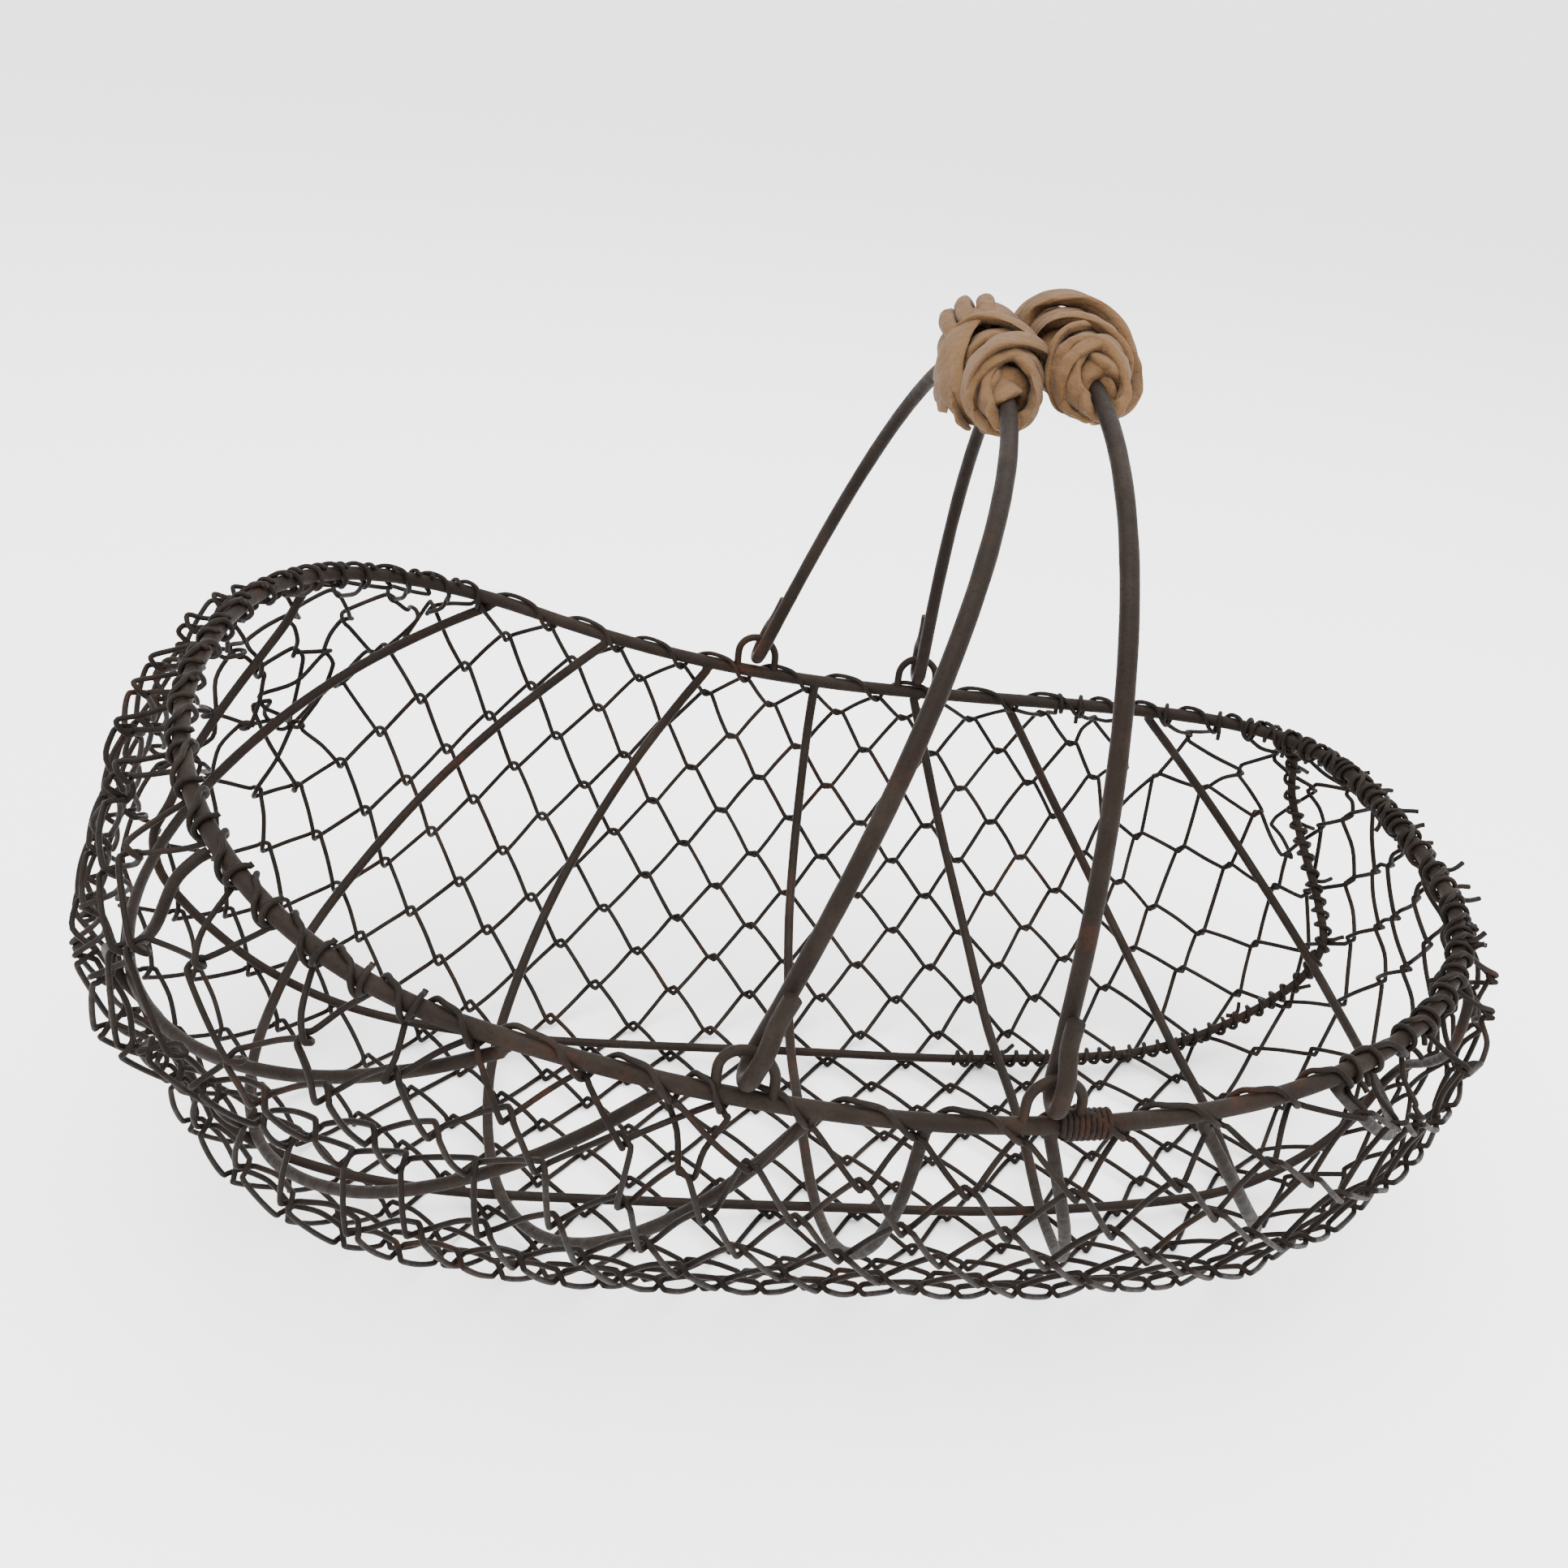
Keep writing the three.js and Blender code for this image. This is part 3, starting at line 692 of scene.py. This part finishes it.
class BASKET_OT_net(bpy.types.Operator):
    """Builds the chain-link net, strand by strand, each hooked through the next"""

    bl_idname = "basket.net"
    bl_label = "Net"

    def execute(self, context):
        sizes = context.scene.basket_sizes
        for number in range(1, STRANDS + 1):
            knots = crumple(strand_knots(number))
            course = strand_line(knots, sizes)
            first, last = knots[0]["spot"], knots[-1]["spot"]
            if first is not None:
                course = rim_wrap(first, number, 0)[::-1] + course
            if last is not None:
                course = course + rim_wrap(last, number, 1)
            smooth = spline(course, 4)
            for place in smooth:
                place.z = max(place.z, sizes.wire * 1.05)
            line = [(p, sizes.wire * roughen(p, 0.007, 0.05)) for p in smooth]
            piece = draw(f"strand_{number:02d}", [line], 8)
            finish_piece(piece, "basket", "net_wire", wire_iron(), f"net_strand_{number:02d}")
        return {"FINISHED"}


class BASKET_OT_lacing(bpy.types.Operator):
    """Laces the net to the rim with one long wire that dips under the rim at each knot"""

    bl_idname = "basket.lacing"
    bl_label = "Lacing"

    def execute(self, context):
        sizes = context.scene.basket_sizes
        count = len(RIM.line)
        spots = sorted({knot["spot"] for number in range(1, STRANDS + 1)
                        for knot in strand_knots(number) if knot["spot"] is not None})
        dips = [spots[0]]
        for spot in spots[1:]:
            if (spot - dips[-1]) * RIM.gap > LACING_GAP:
                dips.append(spot)
        course = []
        snug = sizes.rim + sizes.wire * 1.2
        shape = ((0.0, -0.25, LACING_DIP), (0.13, -0.42, 0.0048), (0.26, -0.62, snug), (0.4, -0.72, snug),
                 (0.62, -0.79, snug), (0.76, -0.95, snug), (0.89, -1.09, 0.0048))
        for here, there in zip(dips, dips[1:] + [dips[0] + count]):
            for share, turns, reach in shape:
                course.append(ring_at(here + (there - here) * share, TURN * turns, reach))
        smooth = spline(course, 4, closed=True)
        line = [(p, sizes.wire * roughen(p, 0.007, 0.05)) for p in smooth]
        piece = draw("rim_lacing", [line], 8, closed=True)
        finish_piece(piece, "basket", "net_wire", wire_iron())
        return {"FINISHED"}


def coil(places, across, pitch, radius, steps=12):
    """A wire coiled round a line; across is not used."""
    reach, line = 0.0, []
    fine = evenly(places, pitch / steps)
    for k, place in enumerate(fine):
        if k:
            reach += (place - fine[k - 1]).length
        ahead = fine[min(k + 1, len(fine) - 1)] - fine[max(k - 1, 0)]
        side = ahead.cross(UP).normalized()
        high = side.cross(ahead).normalized()
        turn = TURN * (reach / pitch + 0.35 * noise.noise(place / 0.02))
        line.append(place + side * (math.cos(turn) * radius) + high * (math.sin(turn) * radius))
    return line


class BASKET_OT_bindings(bpy.types.Operator):
    """Binds the net's gathered ends to the rim and the far stringer, with cut ends that stand out"""

    bl_idname = "basket.bindings"
    bl_label = "Bindings"

    def execute(self, context):
        sizes = context.scene.basket_sizes
        rim_reach = sizes.rim + sizes.wire * 1.2
        low = RIM.nearest(Vector((1, 0, 0.15)))
        stretches = (
            ("low_end_binding", low + 4, low + 62, 0.0084),
            ("near_binding", 196, 204, 0.0019),
        )
        for name, first, last, pitch in stretches:
            line = coil([RIM.at(k)[0] for k in range(first, last + 1)], None, pitch, rim_reach)
            piece = draw(name, [[(p, sizes.wire * roughen(p, 0.007, 0.05)) for p in line]], 8)
            finish_piece(piece, "basket", "net_wire", wire_iron())
        rod = [p for p in stringer_line("stringer_far") if p.x > 0.085]
        line = coil(rod, None, 0.0072, sizes.stringer + sizes.wire * 1.2)
        piece = draw("stringer_binding", [[(p, sizes.wire * roughen(p, 0.007, 0.05)) for p in line]], 8)
        finish_piece(piece, "basket", "net_wire", wire_iron())
        self.cut_ends(sizes, rod, low)
        return {"FINISHED"}

    def cut_ends(self, sizes, rod, low):
        """Short bent ends, on the stringer and round the low end of the rim."""
        tails = []
        for k in range(CUT_ENDS):
            seed = Vector((k * 1.37, 4.2, 0.7))
            if k % 2:
                place = rod[int((k + 0.5) / CUT_ENDS * (len(rod) - 1))]
                base = sizes.stringer + sizes.wire
            else:
                place = RIM.at(low - 36 + 96 * k / CUT_ENDS)[0]
                base = sizes.rim + sizes.wire
            way = (noise.noise_vector(seed) * 1.2 + Vector((0.75, 0, 0.15))).normalized()
            bend = noise.noise_vector(seed * 2.3) * 0.6
            reach = 0.006 + 0.006 * abs(noise.noise(seed * 3.1))
            hook = way.cross(UP).normalized()
            start = place + way * base
            course = [
                start - hook * 0.004 - way * 0.0012,
                start - hook * 0.0016,
                start + way * (reach * 0.35) + bend * 0.001,
                start + way * (reach * 0.7) + bend * 0.003,
                start + way * reach + bend * 0.0065,
            ]
            tails.append([(p, sizes.wire) for p in spline(course, 3)])
        piece = draw("cut_ends", tails, 6)
        finish_piece(piece, "basket", "net_wire", wire_iron())


# ---------------------------------------------------------------- grips


class Spindle:
    """The stretch of a bail that its grip is bound on, measured from the near end to the far end."""

    def __init__(self, side):
        low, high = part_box(f"grip_{side}")
        bail = spline(centre_line(f"bail_{side}", RIM_SIDES), 6)
        reach = GRIP_OVERHANG
        held = [p for p in bail if low[1] - reach < p.y < high[1] + reach and p.z > low[2] - 0.012]
        self.line = evenly(held, 0.001)
        self.lean = 1 if side == "left" else -1

    def at(self, share):
        """Place, way along, way to the right and way up."""
        spot = min(max(share, 0.0), 1.0) * (len(self.line) - 1)
        k = min(int(spot), len(self.line) - 2)
        place = self.line[k].lerp(self.line[k + 1], spot - k)
        along = (self.line[min(k + 3, len(self.line) - 1)] - self.line[max(k - 2, 0)]).normalized()
        right = along.cross(UP).normalized()
        if share < 0 or share > 1:
            place += along * ((share - min(max(share, 0.0), 1.0)) * len(self.line) * 0.001)
        return place, along, right, right.cross(along)

    def surface(self, share, turn, radius):
        """A place round the bail: turn 0 is to the right and a quarter turn is on top."""
        place, along, right, up = self.at(share)
        way = math.cos(TURN * turn)
        side = way * radius
        room = GRIP_ROOM
        if side * self.lean > room * 0.75:
            over = side * self.lean - room * 0.75
            side = self.lean * (room * 0.75 + room * 0.25 * math.tanh(over / (room * 0.25)))
        return place + right * side + up * (math.sin(TURN * turn) * radius)


def swell(share):
    """The bound grip's thickness along its length, near one in the middle."""
    return 0.36 + 0.64 * math.sin(math.pi * min(max(share * 0.92 + 0.04, 0.0), 1.0)) ** 0.55


def band(mesh, spindle, stops, width, thick, twist=0.0, seed=0.0, ragged=0.0):
    """One flattened, crinkled strip. Each stop is (share along, turns round, lift off the core)."""
    course = spline([Vector(stop) for stop in stops], BAND_STEPS)
    core = bpy.context.scene.basket_sizes.grip
    places = [spindle.surface(c.x, c.y, core * swell(c.x) + c.z) for c in course]
    outs = []
    for c, place in zip(course, places):
        middle = spindle.at(c.x)[0]
        outs.append((place - middle).normalized())
    layer = mesh.loops.layers.uv.get("strip") or mesh.loops.layers.uv.new("strip")
    loops, reach = [], 0.0
    last = len(places) - 1
    for k, place in enumerate(places):
        if k:
            reach += (place - places[k - 1]).length
        ahead = (places[min(k + 1, last)] - places[max(k - 1, 0)]).normalized()
        out = (outs[k] - ahead * outs[k].dot(ahead)).normalized()
        across = ahead.cross(out)
        roll = twist * k / last + 0.35 * noise.noise(Vector((reach / 0.02, seed, 1.5)))
        flat = across * math.cos(roll) + out * math.sin(roll)
        deep = out * math.cos(roll) - across * math.sin(roll)
        close = min(k, last - k) / 3
        taper = 1 if close >= 1 else 0.35 + 0.65 * close
        wide = width * 0.5 * taper * (1 + 0.16 * noise.noise(Vector((reach / 0.012, seed, 0))))
        ring = []
        for j in range(BAND_SIDES):
            turn = TURN * j / BAND_SIDES
            u, v = math.cos(turn), math.sin(turn)
            u = math.copysign(abs(u) ** 0.8, u)
            rim_wave = 1 + ragged * noise.noise(Vector((reach / 0.0022, seed, u * 0.6)))
            spot = place + flat * (u * wide * rim_wave) + deep * (v * thick * 0.5 * (1 - 0.25 * u * u))
            stretched = Vector((u * wide / 0.0022, reach / 0.016, seed))
            ridge = noise.noise(stretched) * 0.0014 + noise.noise(spot / 0.0035) * 0.001
            ring.append((spot + deep * (ridge * (1 if v >= 0 else -1)), (u * wide + 0.02, reach)))
        loops.append(ring)
    verts = [[mesh.verts.new(spot) for spot, _ in ring] for ring in loops]
    for k in range(last):
        for j in range(BAND_SIDES):
            i = (j + 1) % BAND_SIDES
            face = mesh.faces.new((verts[k][j], verts[k][i], verts[k + 1][i], verts[k + 1][j]))
            for loop, (a, b) in zip(face.loops, ((k, j), (k, i), (k + 1, i), (k + 1, j))):
                loop[layer].uv = loops[a][b][1]
            face.smooth = True
    for k in (0, last):
        face = mesh.faces.new(verts[k] if k else verts[k][::-1])
        for loop, (_, uv) in zip(face.loops, loops[k] if k else loops[k][::-1]):
            loop[layer].uv = uv


def noose(share, slope, phase, tilt, lift, turns=1.0):
    """Stops of a band that goes round the bail once, tilted."""
    stops = []
    steps = 12
    for k in range(int(steps * turns) + 1):
        turn = k / steps
        stops.append((share + slope * math.cos(TURN * (turn + phase - tilt)), turn + phase, lift + 0.0008 * (k / steps)))
    return stops


def winding(first, last, turns, phase, lift):
    """Stops of a band wound along the bail."""
    steps = int(abs(turns) * 8)
    return [
        (first + (last - first) * k / steps + 0.022 * noise.noise(Vector((k * 0.23, phase, turns))),
         phase + turns * k / steps,
         lift + 0.0012 * noise.noise(Vector((k * 0.37, turns, phase))))
        for k in range(steps + 1)
    ]


LEFT_BANDS = (
    # the diagonal fold across the front, and the wide cheeks on both sides of it
    ([(0.8, 0.1, 0.002), (0.62, 0.22, 0.004), (0.42, 0.38, 0.0045), (0.22, 0.52, 0.004), (0.08, 0.66, 0.001)], 0.0135, 0.0042, 0.5),
    ([(0.72, 0.62, 0.001), (0.6, 0.46, 0.003), (0.48, 0.3, 0.0035), (0.36, 0.14, 0.0035), (0.2, -0.02, 0.002)], 0.017, 0.004, 0.2),
    ([(0.5, -0.2, 0.001), (0.36, 0.0, 0.0035), (0.24, 0.16, 0.004), (0.14, 0.34, 0.0035), (0.06, 0.56, 0.001)], 0.016, 0.0045, -0.3),
    # three rope-like loops on the top
    ([(0.44, 0.29, 0.002), (0.56, 0.285, 0.0055), (0.68, 0.27, 0.0068), (0.77, 0.25, 0.004), (0.8, 0.24, -0.001)], 0.0064, 0.006, 1.2),
    ([(0.47, 0.35, 0.002), (0.6, 0.345, 0.006), (0.72, 0.33, 0.0075), (0.81, 0.31, 0.0045), (0.84, 0.3, -0.001)], 0.0066, 0.0062, 1.6),
    ([(0.42, 0.41, 0.002), (0.55, 0.405, 0.0055), (0.68, 0.39, 0.0068), (0.77, 0.37, 0.004), (0.8, 0.36, -0.001)], 0.0062, 0.006, -1.2),
)
RIGHT_BANDS = (
    # the broad arch from the left, over the top and down the right side
    ([(0.6, 0.62, 0.001), (0.66, 0.45, 0.003), (0.66, 0.3, 0.0034), (0.56, 0.16, 0.004), (0.36, 0.03, 0.0044), (0.14, -0.05, 0.005), (-0.02, -0.13, 0.002)], 0.0135, 0.005, 0.4),
    ([(0.84, 0.5, 0.001), (0.82, 0.32, 0.004), (0.72, 0.14, 0.0062), (0.52, -0.01, 0.0062), (0.3, -0.11, 0.0045), (0.12, -0.2, 0.002)], 0.012, 0.0048, -0.5),
    ([(0.5, 0.55, 0.001), (0.42, 0.4, 0.002), (0.3, 0.28, 0.003), (0.2, 0.14, 0.0025), (0.1, 0.0, 0.001)], 0.0105, 0.0042, 0.6),
    ([(0.4, 0.1, 0.001), (0.28, 0.26, 0.002), (0.2, 0.4, 0.0025), (0.12, 0.54, 0.002), (0.04, 0.7, 0.001)], 0.01, 0.004, -0.6),
)


class BASKET_OT_grips(bpy.types.Operator):
    """Builds the two bound grips: a wound core, crossing bands, nooses at the ends and a frayed flap"""

    bl_idname = "basket.grips"
    bl_label = "Grips"

    def execute(self, context):
        sizes = context.scene.basket_sizes
        for side, bands, hand in (("left", LEFT_BANDS, 1), ("right", RIGHT_BANDS, -1)):
            spindle = Spindle(side)
            self.wound(side, spindle, sizes, hand)
            self.crossed(side, spindle, sizes, bands, hand)
        return {"FINISHED"}

    def finish(self, name, side, mesh, *nodes):
        bmesh.ops.recalc_face_normals(mesh, faces=mesh.faces)
        data = bpy.data.meshes.new(name)
        mesh.to_mesh(data)
        mesh.free()
        piece = bpy.data.objects.new(name, data)
        bpy.context.scene.collection.objects.link(piece)
        alone()
        bpy.context.view_layer.objects.active = piece
        piece.select_set(True)
        smooth = piece.modifiers.new("smooth", "SUBSURF")
        smooth.levels = smooth.render_levels = 1
        bpy.ops.object.modifier_apply(modifier=smooth.name)
        finish_piece(piece, f"{side}_handle", "grip_strip", fibre(), *nodes)

    def wound(self, side, spindle, sizes, hand):
        """The strip wound along the bail, one layer under and one over."""
        mesh = bmesh.new()
        band(mesh, spindle, winding(0.0, 1.0, 9 * hand, 0.1, -sizes.grip * 0.42), sizes.strip * 1.15, 0.008, seed=1.5)
        band(mesh, spindle, winding(0.07, 0.93, 6.2 * hand, 0.3, -0.0028), sizes.strip * 1.2, 0.0055, seed=2.5)
        band(mesh, spindle, winding(0.1, 0.88, -4.1 * hand, 0.75, -0.0008), sizes.strip * 1.05, 0.004, seed=3.5)
        self.finish(f"grip_{side}_winding", side, mesh, f"grip_{side}")

    def crossed(self, side, spindle, sizes, bands, hand):
        """The bands that cross over the winding, and the nooses round the bail at both ends."""
        mesh = bmesh.new()
        for k, (stops, width, thick, twist) in enumerate(bands):
            band(mesh, spindle, stops, width, thick, twist, seed=k * 2.7 + hand)
        for share, slope, phase, tilt, lift in (
            (0.04, 0.13, 0.3, 0.2, -0.0006),
            (0.05, 0.11, 0.75, 0.34, 0.0012),
            (0.11, 0.06, 0.6, 0.05, 0.001),
            (0.95, 0.08, 0.3, 0.75, -0.0006),
            (0.95, 0.07, 0.8, 0.6, 0.001),
        ):
            stops = noose(share, slope, phase, tilt, lift, 1.08)
            band(mesh, spindle, stops, sizes.strip * 0.75, 0.0045, seed=share * 40 + hand + tilt)
        self.finish(f"grip_{side}_bands", side, mesh)
        if side == "left":
            mesh = bmesh.new()
            stops = [(0.66, 0.34, 0.001), (0.58, 0.43, 0.0035), (0.48, 0.5, 0.005), (0.37, 0.55, 0.0062), (0.27, 0.6, 0.0072)]
            band(mesh, spindle, stops, 0.016, 0.0018, 0.25, seed=8.5, ragged=0.34)
            stops = [(0.3, 0.5, 0.002), (0.2, 0.56, 0.0042), (0.12, 0.6, 0.0058), (0.05, 0.64, 0.007)]
            band(mesh, spindle, stops, 0.009, 0.0018, -0.3, seed=9.5, ragged=0.4)
            self.finish("grip_left_flap", side, mesh)


# ---------------------------------------------------------------- stage


class BASKET_OT_stage(bpy.types.Operator):
    """Adds the floor, the soft lights and the camera"""

    bl_idname = "basket.stage"
    bl_label = "Stage"

    def execute(self, context):
        alone()
        bpy.ops.mesh.primitive_plane_add(size=60, location=(0, 0, 0))
        floor = context.object
        floor.name = "floor"
        recipe = Recipe("floor_paint")
        floor.data.materials.append(
            recipe.plate(Base_Color=rgba(context.scene.basket_colours.floor), Roughness=0.9, Specular_IOR_Level=0.1)
        )
        sky = bpy.data.worlds.new("sky")
        sky.use_nodes = True
        backdrop = sky.node_tree.nodes["Background"]
        backdrop.inputs["Color"].default_value = (1, 1, 1, 1)
        backdrop.inputs["Strength"].default_value = 2.8
        context.scene.world = sky
        for name, place, size, power in (
            ("key_light", (-0.7, -0.9, 1.7), 1.4, 48),
            ("top_light", (0.3, 0.2, 2.2), 2.2, 62),
            ("fill_light", (1.4, -0.7, 1.0), 1.4, 14),
        ):
            alone()
            bpy.ops.object.light_add(type="AREA", location=place)
            light = context.object
            light.name = name
            light.data.size = size
            light.data.energy = power
            light.rotation_euler = (Vector((0, 0, 0.12)) - Vector(place)).to_track_quat("-Z", "Y").to_euler()
        self.camera(context)
        return {"FINISHED"}

    def camera(self, context):
        """Stands the camera at the near side, a little above and turned."""
        azimuth, elevation, roll = -0.114, 0.466, 0.117
        back = Vector(
            (
                math.sin(azimuth) * math.cos(elevation),
                -math.cos(azimuth) * math.cos(elevation),
                math.sin(elevation),
            )
        )
        level = Vector((math.cos(azimuth), math.sin(azimuth), 0))
        upright = back.cross(level)
        right = level * math.cos(roll) + upright * math.sin(roll)
        up = upright * math.cos(roll) - level * math.sin(roll)
        place = Vector((0.065, 0, 0.163)) + right * -0.077 + up * 0.0155 + back * 0.645
        bpy.ops.object.camera_add()
        camera = context.object
        camera.name = "camera"
        camera.matrix_world = Matrix.Translation(place) @ Matrix((right, up, back)).transposed().to_4x4()
        camera.data.lens = 37.4
        camera.data.sensor_width = 36
        camera.data.clip_start = 0.01
        context.scene.camera = camera


# ---------------------------------------------------------------- panel and run


OPERATORS = (
    BASKET_OT_stage,
    BASKET_OT_rim,
    BASKET_OT_ribs,
    BASKET_OT_stringers,
    BASKET_OT_eyes,
    BASKET_OT_bails,
    BASKET_OT_net,
    BASKET_OT_lacing,
    BASKET_OT_bindings,
    BASKET_OT_grips,
)


class BASKET_PT_sidebar(bpy.types.Panel):
    """Lists the basket's sizes, colours and pieces"""

    bl_idname = "BASKET_PT_sidebar"
    bl_label = "Wire basket"
    bl_space_type = "VIEW_3D"
    bl_region_type = "UI"
    bl_category = "Basket"

    def draw(self, context):
        for group in (context.scene.basket_sizes, context.scene.basket_colours):
            for name in group.__annotations__:
                self.layout.prop(group, name)
        for operator in OPERATORS:
            self.layout.operator(operator.bl_idname)


CLASSES = (BasketSizes, BasketColours, *OPERATORS, BASKET_PT_sidebar)


def register():
    for cls in CLASSES:
        bpy.utils.register_class(cls)
    bpy.types.Scene.basket_sizes = bpy.props.PointerProperty(type=BasketSizes)
    bpy.types.Scene.basket_colours = bpy.props.PointerProperty(type=BasketColours)


def unregister():
    del bpy.types.Scene.basket_colours
    del bpy.types.Scene.basket_sizes
    for cls in reversed(CLASSES):
        bpy.utils.unregister_class(cls)


def main():
    """Builds everything."""
    register()
    for operator in OPERATORS:
        getattr(bpy.ops.basket, operator.bl_idname.split(".")[1])()


if __name__ == "__main__":
    main()
